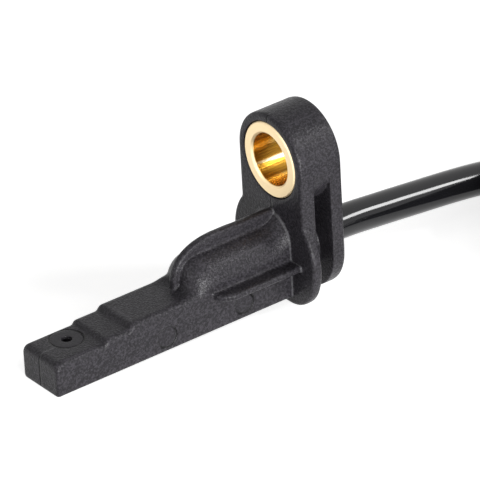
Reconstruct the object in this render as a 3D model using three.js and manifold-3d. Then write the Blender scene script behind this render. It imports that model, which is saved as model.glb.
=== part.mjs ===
// Head, cable and plug of a wheel speed sensor, in millimetres with +Z up.
// The head is modelled along its nose, which points to -X.
// It then leans until its nose and its flange rest on the floor.

import * as THREE from 'three';
import { mergeVertices } from 'three/addons/utils/BufferGeometryUtils.js';
import Module from 'manifold-3d';

const wasm = await Module();
wasm.setup();

// Nose: a rectangular bar whose top climbs in two steps.
const NOSE_HALF = 3.63;
const TIP_TOP = 4.6;
const MID_TOP = 5.1;
const REAR_TOP = 5.7;
const STEP_1 = 7.25;
const STEP_1_RUN = 0.6;
const STEP_2 = 10.95;
const STEP_2_RUN = 0.85;
const SHOULDER = 0.85;
const FRONT_ROUND = 0.8;
const FRONT_CORNER = 0.3;
const BOTTOM_ROUND = 0.25;

// Domed barrel behind the nose, with a flared end at the flange.
const DOME_FOOT = 20.1;
const DOME_FACE = 21.05;
const DOME_FULL = 24.2;
const DOME_TOP = 9.55;
const DOME_BULGE = 1.1;
const FLARE_START = 33.2;
const FLARE_TOP = 11.05;

// Fin along the top of the barrel.
const FIN_THICK = 1.1;
const FIN_FRONT = 20.05;
const FIN_TOP = 11.38;
const FIN_EDGE = 0.3;

// Rib along each side of the barrel.
const RIB_FULL = 26.4;
const RIB_RUN = 2.7;
const RIB_FRONT = RIB_FULL - RIB_RUN;
const RIB_HALF = 5.7;
const RIB_LOW = 4.35;
const RIB_HIGH = 5.25;
const RIB_EDGE = 0.3;

// Ear: two plates joined by the head around the bush, a web and the barrel.
const EAR_FRONT = 36.0;
const EAR_THICK = 6.45;
const EAR_HALF = 6.25;
const BUSH_Z = 17.92;
const CABLE_Z = 5.17;
const PLATE_FRONT_THICK = 2.0;
const PLATE_REAR_THICK = 1.95;
const WEB_HALF = 1.1;
const BARREL_R = 3.6;
const EAR_EDGE = 0.35;

// Round flange with a flattened foot.
const FLANGE_R = 8.12;
const FLANGE_FOOT = -1.2;
const FLANGE_CORNER = 5.1;
const FLANGE_THICK = 1.3;
const FLANGE_EDGE = 0.15;

// Bush for an M6 bolt.
const BUSH_R = 5.0;
const BORE_R = 3.45;
const BUSH_CHAMFER = 0.3;

// Clearances between separate pieces.
const GAP = 0.3;
const BUSH_GAP = 0.15;

// Round cable.
const CABLE_R = 2.15;
const CORE_R = 0.85;
const CORE_Y = 1.0;
const CONDUCTOR_R = 0.45;

// Window over the sensing element on the tip, with a shallow ring groove around it.
const WINDOW_X = 4.7;
const WINDOW_Y = 0.75;
const WINDOW_R = 0.68;
const GROOVE_R = 2.17;
const GROOVE_WIDE = 0.16;
const GROOVE_DEEP = 0.12;

// Pocket inside the moulding, stepped like the nose. Its rear room holds the splices.
const POCKET_HALF = 2.6;
const POCKET_FLOOR = 0.9;
const POCKET_START = 2.2;
const POCKET_LAG = 1.15;
const POCKET_JOIN = 0.5;
const WALL = 1.1;
const ROOF_WALL = 1.0;

// Inner parts of the head, from the tip to the cable.
const CARRIER_THICK = 1.0;
const CARRIER_END = 19.0;
const CHIP_START = 2.9;
const CHIP_END = 7.4;
const CHIP_HALF = 1.9;
const CAPACITOR_START = 13.2;
const CAPACITOR_LONG = 3.0;
const CAPACITOR_HALF = 1.7;
const LEAD_THICK = 0.4;
const LEAD_HALF = 0.4;
const LEAD_RAMP = 2.8;
const LEAD_FLAT = 0.9;
const LEAD_SHIFT = 0.2;
const SPLICE_START = 24.0;
const SPLICE_LONG = 2.0;
const SPLICE_R = 0.75;
const SPLICE_ROOM_BEFORE = 2.1;
const SPLICE_ROOM_RISE = 1.73;
const CONDUCTOR_LONG = 1.0;
const CORE_LONG = 2.6;

// Coil of the cable behind the head: one outer turn, and two inner turns on each other, held by two ties.
// Near the end of each turn the bundle rolls by a quarter, so that the cable can go on to its next place.
const COIL_MIDDLE_R = 20.8;
const COIL_X = 63.25;
const COIL_PITCH = 4.5;
const COIL_TURNS = 3;
const TURN_POINTS = 24;
const ROLL_START = 0.75;
const TIE_THICK = 0.8;
const TIE_WIDTH = 4.0;

// Sealed two-way plug, lying on the floor in line with the cable.
const PLUG_X = 85.2;
const PLUG_HALF_WIDE = 7.0;
const PLUG_HALF_HIGH = 6.3;
const PLUG_LONG = 22.5;
const PLUG_WALL = 1.3;
const PLUG_CORNER = 2.2;
const PLUG_REAR_WALL = 12.0;
const CHANNEL_HALF = 1.2;
const CHANNEL_Y = 2.2;
const INSERT_HALF_WIDE = 4.1;
const INSERT_HALF_HIGH = 3.0;
const INSERT_BACK = 1.0;
const INSERT_CORNER = 0.8;
const LATCH_WIDE = 5.0;
const LATCH_REAR = 4.0;
const LATCH_BACK = 2.0;
const LATCH_RAMP = 5.0;
const LATCH_HOOK = 4.4;
const LATCH_RISE = 1.0;
const SEAL_R = 1.6;
const SEAL_START = 2.6;
const SEAL_LONG = 3.6;
const SEAL_RING_LONG = 2.6;
const SPLAY_Y = 1.3;
const LOCK_THICK = 0.8;
const LOCK_HOLE_R = 0.7;
const BOOT_LONG = 6.0;

const EAR_REAR = EAR_FRONT + EAR_THICK;
const REST_TILT = Math.atan2(-FLANGE_FOOT, EAR_FRONT);
const CARRIER_TOP = POCKET_FLOOR + GAP + CARRIER_THICK;
const LEAD_LOW = CARRIER_TOP + GAP;
const SPLICE_END = SPLICE_START + SPLICE_LONG;
const CONDUCTOR_START = SPLICE_END + GAP;
const CONDUCTOR_END = CONDUCTOR_START + CONDUCTOR_LONG;
const CORE_START = CONDUCTOR_END + GAP;
const CORE_END = CORE_START + CORE_LONG;
const COIL_Y = -COIL_MIDDLE_R - COIL_PITCH / 2;
const COIL_Z = TIE_THICK + GAP + CABLE_R + COIL_PITCH / 2;

const PALETTE = {
  housing: { color: 0x2b2a2d, roughness: 0.62, metalness: 0.0 },
  bush: { color: 0xcdb583, roughness: 0.35, metalness: 1.0 },
  jacket: { color: 0x0e0e10, roughness: 0.22, metalness: 0.0 },
  carrier: { color: 0x3a3d42, roughness: 0.6, metalness: 0.0 },
  chip: { color: 0x151518, roughness: 0.45, metalness: 0.0 },
  tinned: { color: 0xbfc1c4, roughness: 0.35, metalness: 1.0 },
  copper: { color: 0xb5673a, roughness: 0.4, metalness: 1.0 },
  coreBlue: { color: 0x27406f, roughness: 0.5, metalness: 0.0 },
  coreBrown: { color: 0x5b3a22, roughness: 0.5, metalness: 0.0 },
  ceramic: { color: 0x9a7b4f, roughness: 0.6, metalness: 0.0 },
  tie: { color: 0x1a1a1b, roughness: 0.6, metalness: 0.0 },
  plug: { color: 0x202124, roughness: 0.5, metalness: 0.0 },
  lock: { color: 0x8d2f26, roughness: 0.5, metalness: 0.0 },
  seal: { color: 0x9c5a24, roughness: 0.7, metalness: 0.0 },
  rubber: { color: 0x161617, roughness: 0.75, metalness: 0.0 },
};

function material(name) {
  return new THREE.MeshStandardMaterial({ name, ...PALETTE[name] });
}

// Closed manifold solid from any three.js geometry.
function solid(geometry) {
  const bare = new THREE.BufferGeometry();
  bare.setAttribute('position', geometry.getAttribute('position').clone());
  if (geometry.index) bare.setIndex(geometry.index.clone());
  const merged = mergeVertices(bare, 1e-4);
  const index = merged.index.array;
  const kept = [];
  for (let i = 0; i < index.length; i += 3) {
    const [a, b, c] = [index[i], index[i + 1], index[i + 2]];
    if (a !== b && b !== c && c !== a) kept.push(a, b, c);
  }
  return new wasm.Manifold(new wasm.Mesh({
    numProp: 3,
    vertProperties: new Float32Array(merged.getAttribute('position').array),
    triVerts: new Uint32Array(kept),
  }));
}

function geometryOf(manifold) {
  const mesh = manifold.getMesh();
  const geometry = new THREE.BufferGeometry();
  const count = mesh.vertProperties.length / mesh.numProp;
  const positions = new Float32Array(count * 3);
  for (let i = 0; i < count; i += 1) {
    for (let k = 0; k < 3; k += 1) positions[3 * i + k] = mesh.vertProperties[mesh.numProp * i + k];
  }
  geometry.setAttribute('position', new THREE.BufferAttribute(positions, 3));
  geometry.setIndex(new THREE.BufferAttribute(new Uint32Array(mesh.triVerts), 1));
  geometry.computeVertexNormals();
  return geometry;
}

function piece(name, geometry, look) {
  const mesh = new THREE.Mesh(geometry, material(look));
  mesh.name = name;
  return mesh;
}

// Extrusion with rounded ends that keeps the outline's own size.
function rounded(shape, thickness, edge, segments = 2, curveSegments = 12) {
  return new THREE.ExtrudeGeometry(shape, {
    depth: thickness - 2 * edge,
    bevelEnabled: edge > 0,
    bevelThickness: edge,
    bevelSize: edge,
    bevelOffset: -edge,
    bevelSegments: segments,
    curveSegments,
  }).translate(0, 0, edge);
}

const ALONG_X = new THREE.Matrix4().makeBasis(
  new THREE.Vector3(0, 1, 0), new THREE.Vector3(0, 0, 1), new THREE.Vector3(1, 0, 0));
const ALONG_MINUS_Y = new THREE.Matrix4().makeBasis(
  new THREE.Vector3(1, 0, 0), new THREE.Vector3(0, 0, 1), new THREE.Vector3(0, -1, 0));

// Shape in Y and Z, pushed along +X from x.
function alongX(geometry, x) {
  return geometry.applyMatrix4(ALONG_X).translate(x, 0, 0);
}

// Shape in X and Z, pushed across the part and centred on y = 0.
function acrossY(geometry, thickness) {
  return geometry.applyMatrix4(ALONG_MINUS_Y).translate(0, thickness / 2, 0);
}

function box(x0, x1, y0, y1, z0, z1) {
  return new THREE.BoxGeometry(x1 - x0, y1 - y0, z1 - z0)
    .translate((x0 + x1) / 2, (y0 + y1) / 2, (z0 + z1) / 2);
}

function rodX(radius, x0, x1, y, z, sides = 32) {
  return new THREE.CylinderGeometry(radius, radius, x1 - x0, sides)
    .rotateZ(-Math.PI / 2)
    .translate((x0 + x1) / 2, y, z);
}

function roundedRect(halfWidth, halfHeight, radius) {
  const shape = new THREE.Shape();
  shape.moveTo(-halfWidth + radius, -halfHeight);
  shape.lineTo(halfWidth - radius, -halfHeight);
  shape.absarc(halfWidth - radius, -halfHeight + radius, radius, -Math.PI / 2, 0, false);
  shape.lineTo(halfWidth, halfHeight - radius);
  shape.absarc(halfWidth - radius, halfHeight - radius, radius, 0, Math.PI / 2, false);
  shape.lineTo(-halfWidth + radius, halfHeight);
  shape.absarc(-halfWidth + radius, halfHeight - radius, radius, Math.PI / 2, Math.PI, false);
  shape.lineTo(-halfWidth, -halfHeight + radius);
  shape.absarc(-halfWidth + radius, -halfHeight + radius, radius, Math.PI, 1.5 * Math.PI, false);
  return shape;
}

// Line of the moulding's top from the tip to the ear.
function roofLine() {
  const roof = new THREE.Path();
  roof.moveTo(0, TIP_TOP - FRONT_ROUND);
  roof.absarc(FRONT_ROUND, TIP_TOP - FRONT_ROUND, FRONT_ROUND, Math.PI, Math.PI / 2, true);
  roof.lineTo(STEP_1, TIP_TOP);
  roof.bezierCurveTo(
    STEP_1 + 0.45 * STEP_1_RUN, TIP_TOP, STEP_1 + 0.5 * STEP_1_RUN, MID_TOP, STEP_1 + STEP_1_RUN, MID_TOP);
  roof.lineTo(STEP_2, MID_TOP);
  roof.bezierCurveTo(
    STEP_2 + 0.45 * STEP_2_RUN, MID_TOP, STEP_2 + 0.5 * STEP_2_RUN, REAR_TOP, STEP_2 + STEP_2_RUN, REAR_TOP);
  roof.lineTo(DOME_FOOT - 1.0, REAR_TOP);
  roof.bezierCurveTo(
    DOME_FOOT + 0.5, REAR_TOP, DOME_FACE - 0.15, REAR_TOP + 0.3, DOME_FACE, REAR_TOP + 1.5);
  roof.bezierCurveTo(
    DOME_FACE + 0.15, DOME_TOP - 0.75, DOME_FACE + 1.1, DOME_TOP, DOME_FULL, DOME_TOP);
  roof.lineTo(FLARE_START, DOME_TOP);
  roof.quadraticCurveTo(EAR_FRONT - 1.0, DOME_TOP, EAR_FRONT, FLARE_TOP);
  roof.lineTo(EAR_FRONT + 0.3, FLARE_TOP + 0.4);
  return roof.getPoints(7);
}

// Cross-section at one station: small rounding below, a rounded or domed top.
// Where the dome rises, its flanks lag behind its middle, so that its face bulges forwards.
function section(x, top) {
  const front = Math.min(x, FRONT_CORNER);
  const cut = FRONT_CORNER - Math.sqrt(FRONT_CORNER ** 2 - (FRONT_CORNER - front) ** 2);
  const half = NOSE_HALF - cut;
  const rise = THREE.MathUtils.clamp(top - REAR_TOP, 0, DOME_TOP - REAR_TOP);
  const high = THREE.MathUtils.clamp(rise + SHOULDER, SHOULDER, NOSE_HALF);
  const wide = SHOULDER + (half - 0.1 - SHOULDER) * THREE.MathUtils.smoothstep(rise, 0, 1.7);
  const fade = 1 - THREE.MathUtils.smoothstep(x, DOME_FACE + 1, DOME_FULL + 3);
  const lag = DOME_BULGE * THREE.MathUtils.smoothstep(rise, 0, 1.5) * fade;
  const points = [];
  const corner = (cy, cz, ry, rz, from, to, steps) => {
    for (let i = 0; i <= steps; i += 1) {
      const angle = from + ((to - from) * i) / steps;
      const y = cy + ry * Math.cos(angle);
      points.push(new THREE.Vector3(x + lag * (y / NOSE_HALF) ** 2, y, cz + rz * Math.sin(angle)));
    }
  };
  const low = BOTTOM_ROUND;
  corner(half - low, low, low, low, -Math.PI / 2, 0, 2);
  corner(half - wide, top - high, wide, high, 0, Math.PI / 2, 9);
  corner(-half + wide, top - high, wide, high, Math.PI / 2, Math.PI, 9);
  corner(-half + low, low, low, low, Math.PI, 1.5 * Math.PI, 2);
  return points;
}

// Closed skin over a row of sections that all have the same number of points.
function loft(sections) {
  const count = sections[0].length;
  const positions = [];
  for (const ring of sections) {
    for (const point of ring) positions.push(point.x, point.y, point.z);
  }
  const index = [];
  for (let s = 0; s + 1 < sections.length; s += 1) {
    for (let i = 0; i < count; i += 1) {
      const a = s * count + i;
      const b = s * count + ((i + 1) % count);
      index.push(a, b, b + count, a, b + count, a + count);
    }
  }
  const cap = (ring, offset, flip) => {
    const outline = ring.map((point) => new THREE.Vector2(point.y, point.z));
    for (const [a, b, c] of THREE.ShapeUtils.triangulateShape(outline, [])) {
      if (flip) index.push(offset + a, offset + c, offset + b);
      else index.push(offset + a, offset + b, offset + c);
    }
  };
  cap(sections[0], 0, true);
  cap(sections[sections.length - 1], (sections.length - 1) * count, false);
  const geometry = new THREE.BufferGeometry();
  geometry.setAttribute('position', new THREE.Float32BufferAttribute(positions, 3));
  geometry.setIndex(index);
  return geometry;
}

function flangeShape() {
  const cornerZ = FLANGE_FOOT + FLANGE_CORNER;
  const drop = CABLE_Z - cornerZ;
  const cornerY = Math.sqrt((FLANGE_R - FLANGE_CORNER) ** 2 - drop ** 2);
  const turn = Math.atan2(-drop, cornerY);
  const shape = new THREE.Shape();
  shape.moveTo(-cornerY, FLANGE_FOOT);
  shape.lineTo(cornerY, FLANGE_FOOT);
  shape.absarc(cornerY, cornerZ, FLANGE_CORNER, -Math.PI / 2, turn, false);
  shape.absarc(0, CABLE_Z, FLANGE_R, turn, Math.PI - turn, false);
  shape.absarc(-cornerY, cornerZ, FLANGE_CORNER, Math.PI - turn, 1.5 * Math.PI, false);
  return shape;
}

function earShape() {
  const shape = new THREE.Shape();
  shape.absarc(0, BUSH_Z, EAR_HALF, 0, Math.PI, false);
  shape.absarc(0, CABLE_Z, EAR_HALF, Math.PI, 2 * Math.PI, false);
  return shape;
}

function finShape() {
  const shape = new THREE.Shape();
  shape.moveTo(FIN_FRONT - 0.05, REAR_TOP - 0.6);
  shape.lineTo(EAR_FRONT + 0.3, REAR_TOP - 0.6);
  shape.lineTo(EAR_FRONT + 0.3, FIN_TOP - 0.15);
  shape.lineTo(FIN_FRONT + 6.5, FIN_TOP);
  shape.bezierCurveTo(
    FIN_FRONT + 1.85, FIN_TOP - 0.18, FIN_FRONT + 0.15, REAR_TOP + 3.2, FIN_FRONT + 0.05, REAR_TOP + 0.9);
  return shape;
}

function ribShape() {
  const shape = new THREE.Shape();
  shape.moveTo(RIB_FRONT, -NOSE_HALF + 0.6);
  shape.lineTo(RIB_FRONT, -NOSE_HALF);
  shape.absellipse(
    RIB_FULL, -NOSE_HALF, RIB_FULL - RIB_FRONT, RIB_HALF - NOSE_HALF, Math.PI, 1.5 * Math.PI, false, 0);
  shape.lineTo(EAR_FRONT + 0.3, -RIB_HALF);
  shape.lineTo(EAR_FRONT + 0.3, -NOSE_HALF + 0.6);
  return shape;
}

// Ear with a slot cut in from each side, down to the web, the barrel and the head around the bush.
function ear() {
  const block = solid(alongX(rounded(earShape(), EAR_THICK, EAR_EDGE, 2, 24), EAR_FRONT));
  const slotStart = EAR_FRONT + PLATE_FRONT_THICK;
  const slotEnd = EAR_REAR - PLATE_REAR_THICK;
  const reach = EAR_HALF + 1;
  const slot = solid(box(slotStart, slotEnd, -reach, reach, CABLE_Z - reach - 1, BUSH_Z))
    .subtract(solid(rodX(EAR_HALF, slotStart - 1, slotEnd + 1, 0, BUSH_Z, 64)))
    .subtract(solid(rodX(BARREL_R, slotStart - 1, slotEnd + 1, 0, CABLE_Z, 40)))
    .subtract(solid(box(slotStart - 1, slotEnd + 1, -WEB_HALF, WEB_HALF, CABLE_Z, BUSH_Z)));
  return block.subtract(slot);
}

// Hollow for the element and the cores, open to the window in the tip and to the cable's entry.
function hollow() {
  const room = (start, end, top) => solid(box(start, end, -POCKET_HALF, POCKET_HALF, POCKET_FLOOR, top));
  const step1 = STEP_1 + STEP_1_RUN + POCKET_LAG;
  const step2 = STEP_2 + STEP_2_RUN + POCKET_LAG;
  const splice = SPLICE_START - SPLICE_ROOM_BEFORE;
  const end = CONDUCTOR_END + GAP / 3;
  return room(POCKET_START, step1, TIP_TOP - WALL)
    .add(room(step1 - POCKET_JOIN, step2, MID_TOP - WALL))
    .add(room(step2 - POCKET_JOIN, splice + POCKET_JOIN, REAR_TOP - ROOF_WALL))
    .add(room(splice, end, CABLE_Z + SPLICE_ROOM_RISE))
    .add(solid(rodX(CABLE_R + GAP, end - POCKET_JOIN, EAR_REAR + 1, 0, CABLE_Z, 32)))
    .add(solid(new THREE.CylinderGeometry(WINDOW_R, WINDOW_R, 2 * WALL, 24)
      .rotateX(Math.PI / 2)
      .translate(WINDOW_X, WINDOW_Y, TIP_TOP)));
}

// Ring groove in the tip's top, around the window.
function groove() {
  const profile = [
    [GROOVE_R - GROOVE_WIDE / 2, 1], [GROOVE_R - GROOVE_WIDE / 2, -GROOVE_DEEP],
    [GROOVE_R + GROOVE_WIDE / 2, -GROOVE_DEEP], [GROOVE_R + GROOVE_WIDE / 2, 1],
  ];
  const closed = [...profile, profile[0]].map(([radius, height]) => new THREE.Vector2(radius, height));
  return new THREE.LatheGeometry(closed, 40).rotateX(Math.PI / 2).translate(WINDOW_X, WINDOW_Y, TIP_TOP);
}

function housing() {
  const barrel = solid(loft(roofLine().map((point) => section(point.x, point.y))));
  const fin = solid(acrossY(rounded(finShape(), FIN_THICK, FIN_EDGE, 2, 10), FIN_THICK));
  const rib = solid(rounded(ribShape(), RIB_HIGH - RIB_LOW, RIB_EDGE, 2, 8).translate(0, 0, RIB_LOW));
  const flange = solid(alongX(rounded(flangeShape(), FLANGE_THICK, FLANGE_EDGE, 1, 24), EAR_FRONT));
  return barrel
    .add(fin)
    .add(rib)
    .add(rib.mirror([0, 1, 0]))
    .add(flange)
    .add(ear())
    .subtract(solid(rodX(BUSH_R + BUSH_GAP, EAR_FRONT - 1, EAR_REAR + 1, 0, BUSH_Z, 64)))
    .subtract(solid(groove()))
    .subtract(hollow());
}

// Closed ring about X from a profile of radius and position pairs.
function ringX(profile, x, y, z, sides = 48) {
  const closed = [...profile, profile[0]].map(([radius, along]) => new THREE.Vector2(radius, along));
  return new THREE.LatheGeometry(closed, sides).rotateZ(-Math.PI / 2).translate(x, y, z);
}

function bush() {
  const edge = BUSH_CHAMFER;
  return ringX([
    [BORE_R + edge, 0], [BUSH_R - edge / 2, 0], [BUSH_R, edge / 2], [BUSH_R, EAR_THICK - edge / 2],
    [BUSH_R - edge / 2, EAR_THICK], [BORE_R + edge, EAR_THICK], [BORE_R, EAR_THICK - edge], [BORE_R, edge],
  ], EAR_FRONT, 0, BUSH_Z, 64);
}

// Lead that runs flat from the chip and climbs to the splice at the cable's height.
function leadShape() {
  const start = CHIP_END + GAP;
  const end = SPLICE_START - GAP;
  const high = CABLE_Z - LEAD_THICK / 2;
  const top = SPLICE_START - LEAD_FLAT;
  const foot = top - LEAD_RAMP;
  const shape = new THREE.Shape();
  shape.moveTo(start, LEAD_LOW);
  shape.lineTo(foot, LEAD_LOW);
  shape.lineTo(top, high);
  shape.lineTo(end, high);
  shape.lineTo(end, high + LEAD_THICK);
  shape.lineTo(top - LEAD_SHIFT, high + LEAD_THICK);
  shape.lineTo(foot - LEAD_SHIFT, LEAD_LOW + LEAD_THICK);
  shape.lineTo(start, LEAD_LOW + LEAD_THICK);
  return shape;
}

function leadGeometry(side) {
  const strip = new THREE.ExtrudeGeometry(leadShape(), { depth: 2 * LEAD_HALF, bevelEnabled: false });
  return acrossY(strip, 2 * LEAD_HALF).translate(0, side * CORE_Y, 0);
}

const head = new THREE.Group();
head.add(piece('housing', geometryOf(housing()), 'housing'));
head.add(piece('mounting_bush', bush(), 'bush'));
head.add(piece('element_carrier', box(POCKET_START + GAP, CARRIER_END,
  -POCKET_HALF + GAP, POCKET_HALF - GAP, POCKET_FLOOR + GAP, CARRIER_TOP), 'carrier'));
head.add(piece('sensor_ic', box(CHIP_START, CHIP_END, -CHIP_HALF, CHIP_HALF,
  CARRIER_TOP + GAP, TIP_TOP - WALL - GAP), 'chip'));
head.add(piece('capacitor', box(CAPACITOR_START, CAPACITOR_START + CAPACITOR_LONG,
  -CAPACITOR_HALF, CAPACITOR_HALF, LEAD_LOW + LEAD_THICK + GAP, REAR_TOP - ROOF_WALL - GAP), 'ceramic'));
for (const [name, side, colour] of [['left', 1, 'coreBlue'], ['right', -1, 'coreBrown']]) {
  const y = side * CORE_Y;
  head.add(piece(`lead_${name}`, leadGeometry(side), 'tinned'));
  head.add(piece(`splice_${name}`, rodX(SPLICE_R, SPLICE_START, SPLICE_END, y, CABLE_Z, 16), 'tinned'));
  head.add(piece(`conductor_${name}`,
    rodX(CONDUCTOR_R, CONDUCTOR_START, CONDUCTOR_END, y, CABLE_Z, 12), 'copper'));
  head.add(piece(`core_${name}`, rodX(CORE_R, CORE_START, CORE_END, y, CABLE_Z, 20), colour));
}

// Lean the head until the nose and the flange rest on z = 0, then centre it over the origin.
head.rotation.y = -REST_TILT;
head.updateMatrixWorld(true);
const room = new THREE.Box3().setFromObject(head, true);
head.position.set(-(room.min.x + room.max.x) / 2, 0, -room.min.z);
head.updateMatrixWorld(true);

// Round length of cable or core along a smooth curve through its points.
function tube(points, steps, radius = CABLE_R) {
  const round = new THREE.Shape();
  round.absarc(0, 0, radius, 0, 2 * Math.PI, false);
  return new THREE.ExtrudeGeometry(round, {
    steps,
    curveSegments: 6,
    bevelEnabled: false,
    extrudePath: new THREE.CatmullRomCurve3(points, false, 'centripetal'),
  });
}

const jacketStart = head.localToWorld(new THREE.Vector3(CORE_END + GAP, 0, CABLE_Z));
const exit = head.localToWorld(new THREE.Vector3(EAR_REAR, 0, CABLE_Z));
const beyond = head.localToWorld(new THREE.Vector3(EAR_REAR + 4, 0, CABLE_Z));

// Points of the free cable in the vertical plane of the nose, as it sinks towards the floor.
const cablePoints = [
  jacketStart,
  exit,
  beyond,
  new THREE.Vector3(31.5, 0, 6.4),
  new THREE.Vector3(37.9, 0, 5.98),
  new THREE.Vector3(44.4, 0, 5.5),
  new THREE.Vector3(49.2, 0, 4.95),
];

// Points of the short end between the coil and the plug.
const tailPoints = [
  new THREE.Vector3(76.6, 0, 6.78),
  new THREE.Vector3(78.9, 0, 6.46),
  new THREE.Vector3(81.5, 0, 6.34),
  new THREE.Vector3(84.7, 0, 6.3),
];

// Points of the turns, clockwise seen from above. The cable goes from the outer place inwards, then up,
// and leaves above the place where it came in.
function turnPoints() {
  const reach = COIL_PITCH / Math.SQRT2;
  const points = [];
  for (let i = 0; i <= COIL_TURNS * TURN_POINTS; i += 1) {
    const share = i / TURN_POINTS;
    const turn = Math.min(Math.floor(share), COIL_TURNS - 1);
    const along = Math.max(0, (share - turn - ROLL_START) / (1 - ROLL_START));
    const roll = along * along * (3 - 2 * along);
    const place = -Math.PI / 4 - Math.PI / 2 * (turn + roll);
    const radius = COIL_MIDDLE_R + reach * Math.cos(place);
    const angle = Math.PI / 2 - 2 * Math.PI * share;
    points.push(new THREE.Vector3(
      COIL_X + radius * Math.cos(angle), COIL_Y + radius * Math.sin(angle), COIL_Z + reach * Math.sin(place)));
  }
  return points;
}

// Points of the coil, from the end of the free cable to the start of the short end.
const coilPoints = [
  new THREE.Vector3(49.5, 0, 4.84),
  new THREE.Vector3(52.0, 0, 4.25),
  new THREE.Vector3(54.5, 0, 3.7),
  new THREE.Vector3(57.0, 0, 3.38),
  new THREE.Vector3(60.0, 0, 3.26),
  ...turnPoints(),
  new THREE.Vector3(66.0, 0, 7.73),
  new THREE.Vector3(68.5, 0, 7.65),
  new THREE.Vector3(71.0, 0, 7.48),
  new THREE.Vector3(73.5, 0, 7.2),
  new THREE.Vector3(76.3, 0, 6.82),
];

// Outline of a band pulled tight around the three turns, at a distance from their centres.
function bandOutline(reach, shape) {
  const off = COIL_PITCH / 2;
  shape.moveTo(-off, -off - reach);
  shape.lineTo(off, -off - reach);
  shape.absarc(off, -off, reach, -Math.PI / 2, Math.PI / 4, false);
  shape.absarc(-off, off, reach, Math.PI / 4, Math.PI, false);
  shape.absarc(-off, -off, reach, Math.PI, 1.5 * Math.PI, false);
  return shape;
}

// Band around the bundle of turns, at one bearing of the coil.
function tieGeometry(bearing) {
  const shape = bandOutline(CABLE_R + GAP + TIE_THICK, new THREE.Shape());
  shape.holes.push(bandOutline(CABLE_R + GAP, new THREE.Path()));
  return new THREE.ExtrudeGeometry(shape, { depth: TIE_WIDTH, bevelEnabled: false, curveSegments: 4 })
    .translate(0, 0, -TIE_WIDTH / 2)
    .rotateX(Math.PI / 2)
    .translate(COIL_MIDDLE_R, 0, COIL_Z)
    .rotateZ(bearing)
    .translate(COIL_X, COIL_Y, 0);
}

// Plug's shell with a socket around its insert and a latch on top.
// A recess behind takes the cores and their seals.
function plugBody() {
  const end = SEAL_START + SEAL_LONG + GAP;
  const outer = solid(alongX(
    rounded(roundedRect(PLUG_HALF_WIDE, PLUG_HALF_HIGH, PLUG_CORNER), PLUG_LONG, 0.4, 2, 6), 0));
  const socket = solid(alongX(new THREE.ExtrudeGeometry(
    roundedRect(PLUG_HALF_WIDE - PLUG_WALL, PLUG_HALF_HIGH - PLUG_WALL, PLUG_CORNER - INSERT_BACK),
    { depth: PLUG_LONG, bevelEnabled: false, curveSegments: 5 }), PLUG_REAR_WALL));
  const insert = solid(alongX(rounded(
    roundedRect(INSERT_HALF_WIDE, INSERT_HALF_HIGH, INSERT_CORNER),
    PLUG_LONG - PLUG_REAR_WALL - INSERT_BACK, 0.25, 1, 4), PLUG_REAR_WALL - INSERT_BACK / 2));
  const latch = solid(acrossY(
    new THREE.ExtrudeGeometry(latchShape(), { depth: LATCH_WIDE, bevelEnabled: false }), LATCH_WIDE));
  let body = outer.subtract(socket).add(insert).add(latch)
    .subtract(solid(box(-1, SEAL_START - GAP, -CHANNEL_Y, CHANNEL_Y, -SEAL_R - GAP, SEAL_R + GAP)));
  for (const side of [-1, 1]) {
    const y = side * CHANNEL_Y;
    body = body
      .subtract(solid(box(-1, PLUG_LONG + 1, y - CHANNEL_HALF, y + CHANNEL_HALF, -CHANNEL_HALF, CHANNEL_HALF)))
      .subtract(solid(rodX(SEAL_R + GAP, -1, end, y, 0, 20)));
  }
  return body.translate([PLUG_X, 0, PLUG_HALF_HIGH]);
}

function latchShape() {
  const base = PLUG_HALF_HIGH - 0.4;
  const front = PLUG_LONG - LATCH_BACK;
  const shape = new THREE.Shape();
  shape.moveTo(LATCH_REAR, base);
  shape.lineTo(front, base);
  shape.lineTo(front - 0.14 * LATCH_HOOK, base + 1.4 * LATCH_RISE);
  shape.lineTo(front - 0.64 * LATCH_HOOK, base + 1.8 * LATCH_RISE);
  shape.lineTo(front - LATCH_HOOK, base + LATCH_RISE);
  shape.lineTo(LATCH_REAR + LATCH_RAMP, base + LATCH_RISE);
  shape.lineTo(LATCH_REAR + 0.28 * LATCH_RAMP, base + 2.0 * LATCH_RISE);
  return shape;
}

function sealRing() {
  const shape = roundedRect(PLUG_HALF_WIDE - PLUG_WALL - GAP, PLUG_HALF_HIGH - PLUG_WALL - GAP, 1.0);
  shape.holes.push(roundedRect(INSERT_HALF_WIDE + GAP, INSERT_HALF_HIGH + GAP, 0.9));
  const ring = new THREE.ExtrudeGeometry(
    shape, { depth: SEAL_RING_LONG, bevelEnabled: false, curveSegments: 5 });
  return alongX(ring, PLUG_REAR_WALL + GAP).translate(PLUG_X, 0, PLUG_HALF_HIGH);
}

function lockPlate() {
  const shape = roundedRect(INSERT_HALF_WIDE, INSERT_HALF_HIGH, INSERT_CORNER);
  for (const side of [-1, 1]) {
    const hole = new THREE.Path();
    hole.absarc(side * CHANNEL_Y, 0, LOCK_HOLE_R, 0, 2 * Math.PI, true);
    shape.holes.push(hole);
  }
  const plate = new THREE.ExtrudeGeometry(shape, { depth: LOCK_THICK, bevelEnabled: false, curveSegments: 5 });
  return alongX(plate, PLUG_LONG - 1.5 * INSERT_BACK + GAP).translate(PLUG_X, 0, PLUG_HALF_HIGH);
}

function bootGeometry() {
  const inner = CABLE_R + GAP;
  return ringX([
    [inner, 0], [inner + 1.0, 0], [inner + 1.2, 1.6], [inner + 1.9, BOOT_LONG - 1.4],
    [inner + 1.9, BOOT_LONG], [inner, BOOT_LONG],
  ], PLUG_X - GAP - BOOT_LONG, 0, PLUG_HALF_HIGH, 32);
}

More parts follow.
